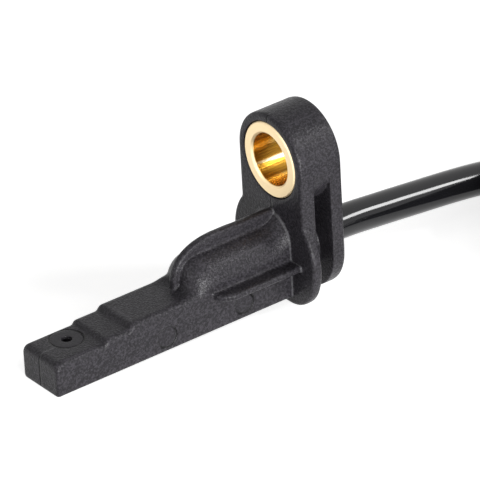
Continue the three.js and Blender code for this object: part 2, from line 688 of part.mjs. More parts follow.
const part = new THREE.Group();
part.add(head);
part.add(piece('cable', tube(cablePoints, 16), 'jacket'));
part.add(piece('cable_coil', tube(coilPoints, 124), 'jacket'));
part.add(piece('coil_tie_a', tieGeometry(-0.25 * Math.PI), 'tie'));
part.add(piece('coil_tie_b', tieGeometry(1.1 * Math.PI), 'tie'));
part.add(piece('cable_tail', tube(tailPoints, 5), 'jacket'));
part.add(piece('plug_boot', bootGeometry(), 'rubber'));
part.add(piece('plug_body', geometryOf(plugBody()), 'plug'));
part.add(piece('plug_seal', sealRing(), 'seal'));
part.add(piece('plug_lock', lockPlate(), 'lock'));
for (const [name, side, colour] of [['left', 1, 'coreBlue'], ['right', -1, 'coreBrown']]) {
  const y = side * CHANNEL_Y;
  const sealEnd = SEAL_START + SEAL_LONG;
  part.add(piece(`wire_seal_${name}`, ringX([
    [CORE_R + GAP, 0], [SEAL_R, 0], [SEAL_R, SEAL_LONG], [CORE_R + GAP, SEAL_LONG],
  ], PLUG_X + SEAL_START, y, PLUG_HALF_HIGH, 20), 'seal'));
  part.add(piece(`plug_core_${name}`, tube([
    new THREE.Vector3(PLUG_X - GAP / 2, side * SPLAY_Y, PLUG_HALF_HIGH),
    new THREE.Vector3(PLUG_X + 0.2 * SEAL_START, side * SPLAY_Y * 1.1, PLUG_HALF_HIGH),
    new THREE.Vector3(PLUG_X + 0.9 * SEAL_START, y * 0.98, PLUG_HALF_HIGH),
    new THREE.Vector3(PLUG_X + 1.2 * SEAL_START, y, PLUG_HALF_HIGH),
    new THREE.Vector3(PLUG_X + sealEnd, y, PLUG_HALF_HIGH),
  ], 10, CORE_R), colour));
  part.add(piece(`terminal_${name}`, box(
    PLUG_X + sealEnd + GAP, PLUG_X + PLUG_LONG - LATCH_BACK,
    y - CHANNEL_HALF + GAP, y + CHANNEL_HALF - GAP,
    PLUG_HALF_HIGH - CHANNEL_HALF + GAP, PLUG_HALF_HIGH + CHANNEL_HALF - GAP), 'tinned'));
}

export default part;
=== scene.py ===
"""Dressed model of a wheel speed sensor: moulded head, brass bush, cable, coil, plug and a white studio.

The file is laid out as an add-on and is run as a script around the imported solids.
"""

import math

import bmesh
import bpy
import numpy as np
from mathutils import Euler, Matrix, Vector


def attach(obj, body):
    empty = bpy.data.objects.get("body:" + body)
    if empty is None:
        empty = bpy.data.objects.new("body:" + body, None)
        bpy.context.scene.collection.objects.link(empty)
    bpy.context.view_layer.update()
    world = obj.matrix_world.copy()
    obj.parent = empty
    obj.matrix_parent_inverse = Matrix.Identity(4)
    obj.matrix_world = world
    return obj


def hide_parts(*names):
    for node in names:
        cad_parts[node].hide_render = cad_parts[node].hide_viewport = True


bl_info = {
    "name": "Wheel speed sensor",
    "version": (1, 0, 0),
    "blender": (4, 5, 0),
    "location": "3D View > Sidebar > Sensor",
    "description": "Moulded sensor head with a brass bush, its cable, coil and plug, in a white studio",
    "category": "Object",
}

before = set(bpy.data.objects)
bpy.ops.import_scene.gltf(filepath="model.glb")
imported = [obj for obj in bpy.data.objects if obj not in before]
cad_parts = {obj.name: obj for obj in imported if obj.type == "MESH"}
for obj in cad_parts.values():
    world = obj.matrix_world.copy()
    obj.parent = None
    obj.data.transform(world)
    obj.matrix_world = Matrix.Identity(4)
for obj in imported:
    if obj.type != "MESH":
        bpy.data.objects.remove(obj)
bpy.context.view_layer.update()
MM = 0.001

# The head leans so that its nose and its flange rest on the floor.
FLANGE_DROP = 1.2
FLANGE_FACE = 36.0
LEAN = math.atan2(FLANGE_DROP, FLANGE_FACE)
HEAD_SHIFT = -21.1637

# Sizes of the head in its own level frame, in millimetres, with x from the tip towards the cable.
CABLE_START = 38.0
EAR_REAR = 42.45
SEAM_TOP = 26.92
SEAM_FOOT = 10.6
BUSH_Z = 17.92
CABLE_Z = 5.17
TIP_TOP = 4.6
NOSE_HALF = 3.63
TIP_MARK = (4.7, 0.75)
TIP_MARK_R = 2.17
EJECTOR_MARKS = ((16.54, 2.05), (28.4, 2.17))
EJECTOR_R = 1.4
BORE_R = 3.45
BUSH_HOLE_R = 5.3
# A painted glint on the flash nib at the ear's top: its place in x and z, and its radius.
NIB_GLINT = (36.0, 25.1)
NIB_GLINT_R = 0.16
# How far a mark reaches to each side of the face that it is on.
MARK_REACH = 0.3

# Meshing of the housing: passes and tolerance that smooth facets, and the triangles that are kept.
NORMAL_PASSES = 30
VERTEX_PASSES = 14
FACET_TOLERANCE = 0.32
HOUSING_TRIANGLES = 180000
MERGE_DISTANCE = 0.0005

# Camera and floor.
CAMERA_PLACE = (-0.357377, -0.492918, 0.343952)
CAMERA_TURN = (61.4387, 1.3606, -37.3969)
SENSOR_WIDTH = 36.0
FLOOR_HALF = 4.0

# Colours of the mould's dark lines (painted shade in the tip's ring and along the ejector circles, and the
# parting line), of its light lines (painted highlights and a painted glint), of the rings on the bush's face,
# and plain white.
LINE_DARK = (0.002, 0.002, 0.002, 1.0)
LINE_HIGHLIGHT = (0.25, 0.25, 0.26, 1.0)
RING_LIGHT = (0.98, 0.82, 0.56, 1.0)
WHITE = (1.0, 1.0, 1.0, 1.0)

# Route of the cable in the resting frame, in millimetres: out of the head and down to the coil.
RUN_OUT = (
    (31.5, 0, 6.4), (34.7, 0, 6.2), (37.9, 0, 5.98), (41.2, 0, 5.76), (44.4, 0, 5.5), (47.0, 0, 5.22),
    (49.2, 0, 4.9), (52.0, 0, 4.25), (54.5, 0, 3.7), (57.0, 0, 3.38), (60.0, 0, 3.26),
)
# Route from the coil's upper turn to the plug.
RUN_TAIL = (
    (66.0, 0, 7.73), (68.5, 0, 7.65), (71.0, 0, 7.48), (73.5, 0, 7.2), (76.3, 0, 6.82), (78.9, 0, 6.46),
    (81.5, 0, 6.34), (84.7, 0, 6.3),
)
COIL_CENTRE = (63.25, -23.05)
COIL_MIDDLE_Z = 5.5
COIL_PITCH = 4.5
TURN_POINTS = 24
ROLL_START = 0.75

# Painted reflections and painted shade on the bore's wall: colours by bearing around its axis, in degrees
# from the far side, downwards negative.
AMBER = (0.46, 0.24, 0.03)
DEEP = (0.32, 0.155, 0.02)
GOLD = (0.78, 0.52, 0.15)
BORE_REFLECTION_BANDS = (
    (-180, DEEP), (-110, DEEP), (-95, AMBER), (-84, DEEP), (-78, GOLD), (-73, GOLD), (-68, DEEP),
    (-52, AMBER), (-40, AMBER), (-16, DEEP), (-6, AMBER), (2, GOLD), (7, GOLD), (10, AMBER), (24, DEEP),
    (32, GOLD), (38, AMBER), (60, DEEP), (120, GOLD), (150, DEEP), (179, DEEP),
)
# Pale wedge of painted reflection on the wall: its lower edge at the front and at this depth, its upper edge
# and their softness.
PALE_REFLECTION = (0.96, 0.83, 0.55)
WEDGE_DEEP = 8.0
WEDGE_LOW_FRONT = math.radians(-34)
WEDGE_LOW_DEEP = math.radians(-45)
WEDGE_SOFT = math.radians(5)
WEDGE_HIGH = math.radians(-28)
WEDGE_HIGH_FULL = math.radians(-32)

# Lamps: name, share of the power setting, width and height, place and the spot it points at, in metres.
LAMPS = (
    ("Right softbox", 1.0, (0.16, 0.11), (0.32, -0.27, 0.31), (0.0, 0.0, 0.01)),
    ("Front strip", 5.3, (0.40, 0.12), (-0.09, -0.58, 0.075), (0.0, 0.0, 0.01)),
    ("Left softbox", 0.45, (0.12, 0.12), (-0.44, -0.14, 0.26), (0.0, 0.0, 0.01)),
)


def level_to_rest():
    """Matrix from the head's own level frame in millimetres to the resting frame in metres."""
    place = Matrix.Translation(Vector((HEAD_SHIFT * MM, 0, 0)))
    return place @ Matrix.Rotation(-LEAN, 4, "Y") @ Matrix.Scale(MM, 4)


def at_rest(x, y, z):
    """Point of the head's level frame, placed in the resting frame in metres."""
    return level_to_rest() @ Vector((x, y, z))


# Settings

class SENSOR_PG_head(bpy.types.PropertyGroup):
    """Sizes and colours of the moulded head"""

    colour: bpy.props.FloatVectorProperty(
        name="Plastic colour", description="Colour of the moulded plastic", subtype="COLOR",
        size=3, min=0.0, max=1.0, default=(0.0200, 0.0185, 0.0218))
    roughness: bpy.props.FloatProperty(
        name="Roughness", description="Roughness of the moulded plastic", default=0.36, min=0.0, max=1.0)
    gloss: bpy.props.FloatProperty(
        name="Gloss", description="Strength of the plastic's reflections", default=0.16, min=0.0, max=1.0)
    grain: bpy.props.FloatProperty(
        name="Grain size", description="Size of the spark-eroded grain", default=0.00027,
        unit="LENGTH", min=0.00002, max=0.002)
    relief: bpy.props.FloatProperty(
        name="Grain relief", description="Height of the grain", default=0.00009, unit="LENGTH",
        min=0.0, max=0.001, precision=6)
    speckle: bpy.props.FloatProperty(
        name="Speckle", description="Contrast of the grain's light and dark spots", default=0.85,
        min=0.0, max=1.0)
    # Strength of the painted highlight that lightens convex edges.
    edge: bpy.props.FloatProperty(
        name="Painted edge highlight", description="How much lighter the edges with a painted highlight are", default=0.6, min=0.0, max=1.0)
    voxel: bpy.props.FloatProperty(
        name="Remesh step", description="Step of the mesh before it is thinned out", default=0.00009,
        unit="LENGTH", min=0.00006, max=0.001)
    rounding: bpy.props.IntProperty(
        name="Edge rounding", description="Smoothing passes that round the moulded edges", default=2,
        min=0, max=40)


class SENSOR_PG_bush(bpy.types.PropertyGroup):
    """Colours of the mounting bush"""

    colour: bpy.props.FloatVectorProperty(
        name="Brass colour", description="Colour of the turned brass", subtype="COLOR",
        size=3, min=0.0, max=1.0, default=(0.88, 0.68, 0.38))
    face_roughness: bpy.props.FloatProperty(
        name="Face roughness", description="Roughness of the flat faces", default=0.42, min=0.0, max=1.0)
    bore_roughness: bpy.props.FloatProperty(
        name="Bore roughness", description="Roughness of the drawn bore", default=0.2, min=0.0, max=1.0)


class SENSOR_PG_cable(bpy.types.PropertyGroup):
    """Sizes and colour of the cable"""

    diameter: bpy.props.FloatProperty(
        name="Diameter", description="Outer diameter of the round cable", default=0.0043,
        unit="LENGTH", min=0.002, max=0.01)
    length: bpy.props.FloatProperty(
        name="Length", description="Length of the cable from the head to the plug", default=0.444,
        unit="LENGTH", min=0.1, max=2.0)
    coil_radius: bpy.props.FloatProperty(
        name="Coil radius", description="Radius of the coil at the middle of its turns", default=0.0208,
        unit="LENGTH", min=0.015, max=0.1)
    turns: bpy.props.IntProperty(name="Turns", description="Turns of the coil", default=3, min=1, max=8)
    colour: bpy.props.FloatVectorProperty(
        name="Jacket colour", description="Colour of the glossy jacket", subtype="COLOR",
        size=3, min=0.0, max=1.0, default=(0.006, 0.006, 0.007))
    roughness: bpy.props.FloatProperty(
        name="Roughness", description="Roughness of the jacket", default=0.07, min=0.0, max=1.0)
    gloss: bpy.props.FloatProperty(
        name="Gloss", description="Strength of the jacket's reflections", default=0.45, min=0.0, max=1.0)


class SENSOR_PG_plug(bpy.types.PropertyGroup):
    """Colours of the plug and of the ties"""

    shell: bpy.props.FloatVectorProperty(
        name="Shell colour", description="Colour of the plug's shell", subtype="COLOR",
        size=3, min=0.0, max=1.0, default=(0.016, 0.017, 0.019))
    seal: bpy.props.FloatVectorProperty(
        name="Seal colour", description="Colour of the silicone seals", subtype="COLOR",
        size=3, min=0.0, max=1.0, default=(0.33, 0.10, 0.02))
    lock: bpy.props.FloatVectorProperty(
        name="Lock colour", description="Colour of the terminal lock", subtype="COLOR",
        size=3, min=0.0, max=1.0, default=(0.26, 0.03, 0.02))


class SENSOR_PG_studio(bpy.types.PropertyGroup):
    """Camera, lamps and floor"""

    lens: bpy.props.FloatProperty(
        name="Lens", description="Focal length of the camera in millimetres", default=425.69,
        min=20.0, max=2000.0)
    power: bpy.props.FloatProperty(
        name="Lamps", description="Power of the lamps", default=1.0, min=0.0, max=100.0)
    sky: bpy.props.FloatProperty(
        name="Surround", description="Strength of the even light from all around", default=0.18,
        min=0.0, max=4.0)
    glow: bpy.props.FloatProperty(
        name="Floor glow", description="What is added to the floor so that it shows as white", default=0.72,
        min=0.0, max=1.0)
    floor: bpy.props.FloatVectorProperty(
        name="Floor colour", description="Colour of the white floor", subtype="COLOR",
        size=3, min=0.0, max=1.0, default=(0.9, 0.9, 0.9))


# Shader groups and materials

def group(name, inputs, outputs):
    """New shader node group with these float inputs (and their values) and float outputs."""
    tree = bpy.data.node_groups.new(name, "ShaderNodeTree")
    for socket, value in inputs:
        made = tree.interface.new_socket(socket, in_out="INPUT", socket_type="NodeSocketFloat")
        made.default_value = value
    for socket in outputs:
        tree.interface.new_socket(socket, in_out="OUTPUT", socket_type="NodeSocketFloat")
    return tree


class Wiring:
    """Short way to add nodes to a tree and to join them."""

    def __init__(self, tree):
        self.tree = tree

    def node(self, kind, links=None, **values):
        """New node with these settings, and a value or a link for each named socket."""
        made = self.tree.nodes.new(kind)
        for key, value in values.items():
            setattr(made, key, value)
        for socket, source in (links or {}).items():
            self.feed(made.inputs[socket], source)
        return made

    def feed(self, socket, source):
        """Links a socket to its source, or gives it a value."""
        if isinstance(source, bpy.types.NodeSocket):
            self.tree.links.new(source, socket)
        else:
            socket.default_value = source

    def math(self, operation, a, b=0.0, clamp=False):
        """Result of one operation on two values."""
        return self.node("ShaderNodeMath", {0: a, 1: b}, operation=operation, use_clamp=clamp).outputs[0]

    def vector(self, operation, a, b=(0.0, 0.0, 0.0)):
        """Result of one operation on two vectors."""
        made = self.node("ShaderNodeVectorMath", {0: a, 1: b}, operation=operation)
        return made.outputs["Value" if operation == "LENGTH" else "Vector"]

    def join(self, x=0.0, y=0.0, z=0.0):
        """Vector made of three values."""
        return self.node("ShaderNodeCombineXYZ", {"X": x, "Y": y, "Z": z}).outputs[0]

    def place(self):
        """Object coordinates of the shaded point, in metres."""
        return self.node("ShaderNodeTexCoord").outputs["Object"]

    def level(self, point, origin):
        """Vector from an origin, turned into the head's own level frame."""
        links = {"Vector": self.vector("SUBTRACT", point, origin), "Angle": LEAN}
        return self.node("ShaderNodeVectorRotate", links, rotation_type="Y_AXIS").outputs[0]

    def shared(self, maker, **values):
        """Node of a shared group, with these values at its inputs."""
        made = self.node("ShaderNodeGroup", node_tree=shared_group(maker))
        for key, value in values.items():
            made.inputs[key].default_value = value
        return made.outputs

    def send(self, **values):
        """Output node of a group, fed by name."""
        out = self.node("NodeGroupOutput")
        for key, value in values.items():
            self.feed(out.inputs[key], value)

    def mix(self, factor, a, b):
        """Blend of two colours."""
        made = self.node("ShaderNodeMix", data_type="RGBA")
        self.feed(made.inputs[0], factor)
        self.feed(made.inputs[6], a)
        self.feed(made.inputs[7], b)
        return made.outputs[2]

    def ramp(self, source, low, high, out_low=0.0, out_high=1.0):
        """Straight ramp of a value between two limits, level beyond them."""
        made = self.node("ShaderNodeMapRange", {
            "Value": source, "From Min": low, "From Max": high, "To Min": out_low, "To Max": out_high})
        return made.outputs["Result"]

    def noise(self, vector, scale, detail=2.0, roughness=0.5):
        """Soft noise at a place."""
        made = self.node("ShaderNodeTexNoise", {
            "Vector": vector, "Scale": scale, "Detail": detail, "Roughness": roughness})
        return made.outputs["Fac"]


def eroded_grain():
    """Group: height and speckle of a spark-eroded mould texture."""
    tree = group("Eroded grain", [("Scale", 6000.0), ("Speckle", 0.5)], ["Height", "Tone"])
    w = Wiring(tree)
    ins = w.node("NodeGroupInput")
    place = w.place()
    fine = w.noise(place, ins.outputs["Scale"], 3.0, 0.65)
    coarse_scale = w.math("MULTIPLY", ins.outputs["Scale"], 0.33)
    coarse = w.noise(place, coarse_scale, 2.0)
    cells = w.node("ShaderNodeTexVoronoi", {"Vector": place, "Scale": ins.outputs["Scale"]})
    height = w.math("ADD", w.math("MULTIPLY", fine, 0.55), w.math("MULTIPLY", coarse, 0.25))
    height = w.math("ADD", height, w.math("MULTIPLY", cells.outputs["Distance"], 0.35))
    spots = w.ramp(fine, 0.44, 0.62)
    tone = w.math("MULTIPLY", spots, ins.outputs["Speckle"])
    w.send(Height=height, Tone=tone)
    return tree


def handling_marks():
    """Group: faint cloudy patches where a surface was handled or dust has settled."""
    tree = group("Handling marks", [("Scale", 180.0), ("Amount", 0.5)], ["Mask"])
    w = Wiring(tree)
    ins = w.node("NodeGroupInput")
    place = w.place()
    cloud = w.noise(place, ins.outputs["Scale"], 4.0, 0.6)
    mask = w.math("MULTIPLY", w.ramp(cloud, 0.45, 0.7), ins.outputs["Amount"])
    w.send(Mask=mask)
    return tree


def painted_edge_highlight():
    """Group: mask of convex edges, where a painted highlight makes the surface lighter."""
    tree = group("Painted edge highlight", [("Low", 0.515), ("High", 0.6)], ["Mask"])
    w = Wiring(tree)
    ins = w.node("NodeGroupInput")
    point = w.node("ShaderNodeNewGeometry").outputs["Pointiness"]
    mask = w.ramp(point, ins.outputs["Low"], ins.outputs["High"])
    w.send(Mask=mask)
    return tree


def turned_lines_and_reflection_wedge():
    """Group: fine rings around the bush's axis, streaks along it, and the bearing and the wedge of painted
    reflection in its bore.
    """
    tree = group("Turned lines and reflection wedge", [("Rings", 9000.0), ("Streaks", 40.0)],
                 ["Ring", "Streak", "Radius", "Bearing", "Wedge"])
    w = Wiring(tree)
    ins = w.node("NodeGroupInput")
    place = w.place()
    turned = w.level(place, tuple(at_rest(FLANGE_FACE, 0, BUSH_Z)))
    parts = w.node("ShaderNodeSeparateXYZ", {"Vector": turned})
    radius = w.vector("LENGTH", w.join(0.0, parts.outputs["Y"], parts.outputs["Z"]))
    angle = w.math("ARCTAN2", parts.outputs["Z"], parts.outputs["Y"])
    ring = w.noise(w.join(w.math("MULTIPLY", radius, ins.outputs["Rings"])), 1.0, 3.0)
    spin = w.join(
        w.math("MULTIPLY", w.math("COSINE", angle), ins.outputs["Streaks"]),
        w.math("MULTIPLY", w.math("SINE", angle), ins.outputs["Streaks"]),
        w.math("MULTIPLY", parts.outputs["X"], 90.0))
    streak = w.noise(spin, 1.0, 3.0, 0.6)
    # Mask of the pale wedge of painted reflection on the bore's wall.
    low = w.ramp(parts.outputs["X"], 0.0, WEDGE_DEEP * MM, WEDGE_LOW_FRONT, WEDGE_LOW_DEEP)
    over = w.math("DIVIDE", w.math("SUBTRACT", angle, low), WEDGE_SOFT, clamp=True)
    under = w.ramp(angle, WEDGE_HIGH, WEDGE_HIGH_FULL)
    w.send(Ring=ring, Streak=streak, Radius=radius, Bearing=w.ramp(angle, -math.pi, math.pi),
           Wedge=w.math("MULTIPLY", over, under))
    return tree


def mould_marks_and_painted_light():
    """Group: marks of the mould and painted light: painted shade in the ring on the tip and along the ejector
    circles, the parting line with a painted highlight on the tip's top, a painted highlight along the
    flange's edge, and a painted glint on the flash nib.
    """
    tree = group("Mould marks and painted light", [("Line", 0.2)], ["Dark", "Light", "Disc"])
    w = Wiring(tree)
    ins = w.node("NodeGroupInput")
    place = w.place()
    level = w.vector("MULTIPLY", w.level(place, (HEAD_SHIFT * MM, 0.0, 0.0)), (1 / MM, 1 / MM, 1 / MM))
    parts = w.node("ShaderNodeSeparateXYZ", {"Vector": level})
    x, y, z = (parts.outputs[k] for k in "XYZ")

    def line(distance):
        """Mask of a thin line where the distance is near zero."""
        return w.ramp(w.math("ABSOLUTE", distance), ins.outputs["Line"], 0.02)

    def between(value, low, high, soft=0.04):
        """Mask of the values between two limits."""
        rise = w.ramp(value, low - soft, low + soft)
        return w.math("MULTIPLY", rise, w.ramp(value, high + soft, high - soft))

    def both(*masks):
        """Product of masks."""
        made = masks[0]
        for mask in masks[1:]:
            made = w.math("MULTIPLY", made, mask)
        return made

    def reach(first, a, second, b):
        """Distance of two coordinates from a centre."""
        return w.vector("LENGTH", w.join(w.math("SUBTRACT", first, a), w.math("SUBTRACT", second, b)))

    # The ring on the tip: its dark line is painted shade in the groove.
    on_tip = both(between(x, 0.5, 8.0), between(z, TIP_TOP - MARK_REACH, TIP_TOP + MARK_REACH))
    from_ring = reach(x, TIP_MARK[0], y, TIP_MARK[1])
    dark = both(line(w.math("SUBTRACT", from_ring, TIP_MARK_R)), on_tip)
    disc = both(between(from_ring, -1.0, TIP_MARK_R), on_tip)
    on_side = between(y, -NOSE_HALF - 0.4, -NOSE_HALF + MARK_REACH)
    for middle in EJECTOR_MARKS:
        from_pin = reach(x, middle[0], z, middle[1])
        # Ejector circles: a dark line of painted shade, strongest on one side of each circle.
        slant = w.math("SUBTRACT", w.math("SUBTRACT", x, middle[0]), w.math("SUBTRACT", z, middle[1]))
        shaded_side = w.ramp(slant, -1.6, 0.4, 0.35, 1.0)
        dark = w.math("MAXIMUM", dark, both(line(w.math("SUBTRACT", from_pin, EJECTOR_R)), on_side, shaded_side))
        disc = w.math("MAXIMUM", disc, both(between(from_pin, -1.0, EJECTOR_R), on_side, 0.3))
    # The parting line: dark on the tip's front face and on the ear's face, and a painted highlight on the
    # tip's top.
    seam = line(y)
    on_front = both(between(x, -0.4, 0.25), between(z, 0.2, TIP_TOP - MARK_REACH))
    on_ear = both(between(x, FLANGE_FACE - 0.1, FLANGE_FACE + 0.25), w.math("MAXIMUM", between(
        z, BUSH_Z + BUSH_HOLE_R, SEAM_TOP), between(z, SEAM_FOOT, BUSH_Z - BUSH_HOLE_R)))
    dark = w.math("MAXIMUM", dark, both(seam, w.math("MAXIMUM", on_front, on_ear)))
    light = both(seam, between(x, 0.25, 2.3), between(z, TIP_TOP - MARK_REACH, TIP_TOP + MARK_REACH), 0.7)
    # A painted highlight along the flange's edge.
    flange_edge_highlight = both(
        w.ramp(x, FLANGE_FACE - 0.32, FLANGE_FACE - 0.22), w.ramp(x, FLANGE_FACE - 0.04, FLANGE_FACE - 0.1))
    light = w.math("MAXIMUM", light, w.math("MULTIPLY", flange_edge_highlight, 0.6))
    # A painted glint on the flash nib.
    from_nib_glint = reach(x, NIB_GLINT[0], z, NIB_GLINT[1])
    nib_glint = both(between(from_nib_glint, -1.0, NIB_GLINT_R), between(y, -0.25, 0.2), 3.0)
    light = w.math("MAXIMUM", light, nib_glint)
    w.send(Dark=dark, Light=light, Disc=disc)
    return tree


def shared_group(maker):
    """Node group that is built once and then shared."""
    name = maker.__name__.replace("_", " ").capitalize()
    return bpy.data.node_groups.get(name) or maker()


def new_material(name, colour, roughness, metallic=0.0):
    """Material with a principled shader, its wiring, and the shader's node."""
    made = bpy.data.materials.new(name)
    made.use_nodes = True
    shader = made.node_tree.nodes["Principled BSDF"]
    shader.inputs["Base Color"].default_value = (*colour, 1.0)
    shader.inputs["Roughness"].default_value = roughness
    shader.inputs["Metallic"].default_value = metallic
    return made, Wiring(made.node_tree), shader


def grain_material(name, colour, roughness, scale, depth, speckle, edge=0.0, gloss=0.3, marked=False):
    """Moulded plastic with an eroded grain and faint patches, and on request a painted highlight on convex
    edges and mould marks with painted shade, painted highlights and a painted glint.
    """
    made, w, shader = new_material(name, colour, roughness)
    shader.inputs["Specular IOR Level"].default_value = gloss
    grain = w.shared(eroded_grain, Scale=scale, Speckle=speckle)
    cloud = w.shared(handling_marks, Amount=0.35)
    shade = tuple(0.62 * c for c in colour)
    light = tuple(min(1.0, 2.0 * c + 0.002) for c in colour)
    tint = w.mix(grain["Tone"], (*shade, 1.0), (*light, 1.0))
    # Convex edges lighter: a painted highlight.
    if edge:
        tint = w.mix(w.math("MULTIPLY", w.shared(painted_edge_highlight)["Mask"], edge), tint, (*light, 1.0))
    height = grain["Height"]
    rough = w.math("ADD", roughness, w.math("MULTIPLY", cloud["Mask"], 0.18))
    rough = w.math("SUBTRACT", rough, w.math("MULTIPLY", grain["Tone"], 0.1))
    if marked:
        lines = w.shared(mould_marks_and_painted_light)
        smooth = tuple(0.85 * c for c in colour)
        tint = w.mix(w.math("MULTIPLY", lines["Disc"], 0.7), tint, (*smooth, 1.0))
        # Dark lines: painted shade in the tip's ring and along the ejector circles, and the parting line.
        tint = w.mix(w.math("MULTIPLY", lines["Dark"], 0.95), tint, LINE_DARK)
        # Light lines: painted highlights along the seam and the flange's edge, and a painted glint.
        tint = w.mix(w.math("MULTIPLY", lines["Light"], 0.3, clamp=True), tint, LINE_HIGHLIGHT)
        height = w.math("MULTIPLY", height, w.ramp(lines["Disc"], 0.0, 1.0, 1.0, 0.35))
        height = w.math("SUBTRACT", height, w.math("MULTIPLY", lines["Dark"], 1.6))
        height = w.math("ADD", height, w.math("MULTIPLY", lines["Light"], 0.2))
    w.feed(shader.inputs["Base Color"], tint)
    w.feed(shader.inputs["Roughness"], rough)
    bump = w.node("ShaderNodeBump", {"Height": height, "Strength": 1.0, "Distance": depth})
    w.feed(shader.inputs["Normal"], bump.outputs["Normal"])
    return made


def smooth_material(name, colour, roughness, wave_scale, depth, metallic=0.0):
    """Extruded, drawn or plated surface with soft unevenness and faint marks."""
    made, w, shader = new_material(name, colour, roughness, metallic)
    place = w.place()
    wave = w.noise(place, wave_scale, 2.0)
    cloud = w.shared(handling_marks)
    shade = tuple(0.82 * c for c in colour)
    w.feed(shader.inputs["Base Color"], w.mix(wave, (*colour, 1.0), (*shade, 1.0)))
    rough = w.math("ADD", roughness, w.math("MULTIPLY", cloud["Mask"], 0.15))
    w.feed(shader.inputs["Roughness"], rough)
    bump = w.node("ShaderNodeBump", {"Height": wave, "Strength": 1.0, "Distance": depth})
    w.feed(shader.inputs["Normal"], bump.outputs["Normal"])
    return made


def bush_material(settings):
    """Brass with a pale satin face, and a smooth bore with bands of painted reflection and painted shade, a
    pale wedge of painted reflection, and streaks along it.
    """
    colour = tuple(settings.colour)
    made, w, shader = new_material("Turned brass", colour, settings.face_roughness, 1.0)
    lines = w.shared(turned_lines_and_reflection_wedge)
    in_bore = w.ramp(lines["Radius"], (BORE_R + 0.10) * MM, (BORE_R + 0.02) * MM)
    # Bands of painted reflection and painted shade around the bore, by bearing.
    reflection_bands = w.node("ShaderNodeValToRGB", {"Fac": lines["Bearing"]})
    reflection_bands.color_ramp.interpolation = "LINEAR"
    stops = reflection_bands.color_ramp.elements
    for place, tone in BORE_REFLECTION_BANDS:
        stop = stops.new(0.5 + place / 360.0)
        stop.color = (*tone, 1.0)
    stops.remove(stops[0])
    stops.remove(stops[-1])
    streak = w.ramp(lines["Streak"], 0.35, 0.65, 0.55, 1.35)
    bore = w.vector("MULTIPLY", reflection_bands.outputs["Color"], streak)
    # The pale wedge is a painted reflection.
    bore = w.mix(lines["Wedge"], bore, (*PALE_REFLECTION, 1.0))
    face = w.mix(lines["Ring"], (*colour, 1.0), RING_LIGHT)
    w.feed(shader.inputs["Base Color"], w.mix(in_bore, face, bore))
    drop = settings.bore_roughness - settings.face_roughness
    rough = w.math("ADD", settings.face_roughness, w.math("MULTIPLY", in_bore, drop))
    rough = w.math("ADD", rough, w.math("MULTIPLY", lines["Ring"], 0.12))
    w.feed(shader.inputs["Roughness"], rough)
    height = w.math("ADD", w.math("MULTIPLY", lines["Ring"], 0.4), lines["Streak"])
    bump = w.node("ShaderNodeBump", {"Height": height, "Strength": 0.5, "Distance": 0.00003})
    w.feed(shader.inputs["Normal"], bump.outputs["Normal"])
    return made


def dress(obj, material):
    """Gives an object one material in place of what it had."""
    obj.data.materials.clear()
    obj.data.materials.append(material)


# Mesh tools

def linked(name, data):
    """New object in the scene that holds this mesh or curve."""
    made = bpy.data.objects.new(name, data)
    bpy.context.scene.collection.objects.link(made)
    return made


def applied(obj):
    """Replaces an object's mesh by its modified one."""
    graph = bpy.context.evaluated_depsgraph_get()
    mesh = bpy.data.meshes.new_from_object(obj.evaluated_get(graph))
    old = obj.data
    obj.modifiers.clear()
    obj.data = mesh
    bpy.data.meshes.remove(old)


def gather(targets, values, count):
    """Sums rows of values at their target numbers."""
    return np.stack([np.bincount(targets, weights=values[:, k], minlength=count) for k in range(3)], 1)


def filter_facets(mesh, normal_passes, vertex_passes, tolerance):
    """Smooths slight bends between facets and keeps real edges, by averaging like-minded face normals."""
    points = np.empty(len(mesh.vertices) * 3)
    mesh.vertices.foreach_get("co", points)
    points = points.reshape(-1, 3)
    loops = len(mesh.loops)
    corner = np.empty(loops, np.int64)
    mesh.loops.foreach_get("vertex_index", corner)
    edge = np.empty(loops, np.int64)
    mesh.loops.foreach_get("edge_index", edge)
    faces = len(mesh.polygons)
    total = np.empty(faces, np.int64)
    mesh.polygons.foreach_get("loop_total", total)
    owner = np.repeat(np.arange(faces), total)
    normals = np.empty(faces * 3)
    mesh.polygons.foreach_get("normal", normals)
    normals = normals.reshape(-1, 3)
    order = np.argsort(edge, kind="stable")
    same = edge[order][1:] == edge[order][:-1]
    first = owner[order][:-1][same]
    second = owner[order][1:][same]
    for _ in range(normal_passes):
        apart = ((normals[first] - normals[second]) ** 2).sum(1)
        weight = np.exp(-apart / (2 * tolerance ** 2))[:, None]
        normals = normals + gather(first, weight * normals[second], faces)
        normals = normals + gather(second, weight * normals[first], faces)
        normals /= np.linalg.norm(normals, axis=1)[:, None]
    share = np.bincount(corner, minlength=len(points))[:, None]
    for _ in range(vertex_passes):
        centres = gather(owner, points[corner], faces) / total[:, None]
        lean = normals[owner]
        off = ((centres[owner] - points[corner]) * lean).sum(1)[:, None]
        points = points + gather(corner, lean * off, len(points)) / share
    mesh.vertices.foreach_set("co", points.ravel())
    mesh.update()


def round_edges(mesh, passes):
    """Rounds every edge a little, as a moulding's are."""
    points = np.empty(len(mesh.vertices) * 3)
    mesh.vertices.foreach_get("co", points)
    points = points.reshape(-1, 3)
    ends = np.empty(len(mesh.edges) * 2, np.int64)
    mesh.edges.foreach_get("vertices", ends)
    ends = ends.reshape(-1, 2)
    count = len(points)
    share = np.bincount(ends.ravel(), minlength=count)[:, None]
    for _ in range(passes):
        total = gather(ends[:, 0], points[ends[:, 1]], count)
        total = total + gather(ends[:, 1], points[ends[:, 0]], count)
        points = 0.5 * points + 0.5 * total / share
    mesh.vertices.foreach_set("co", points.ravel())
    mesh.update()


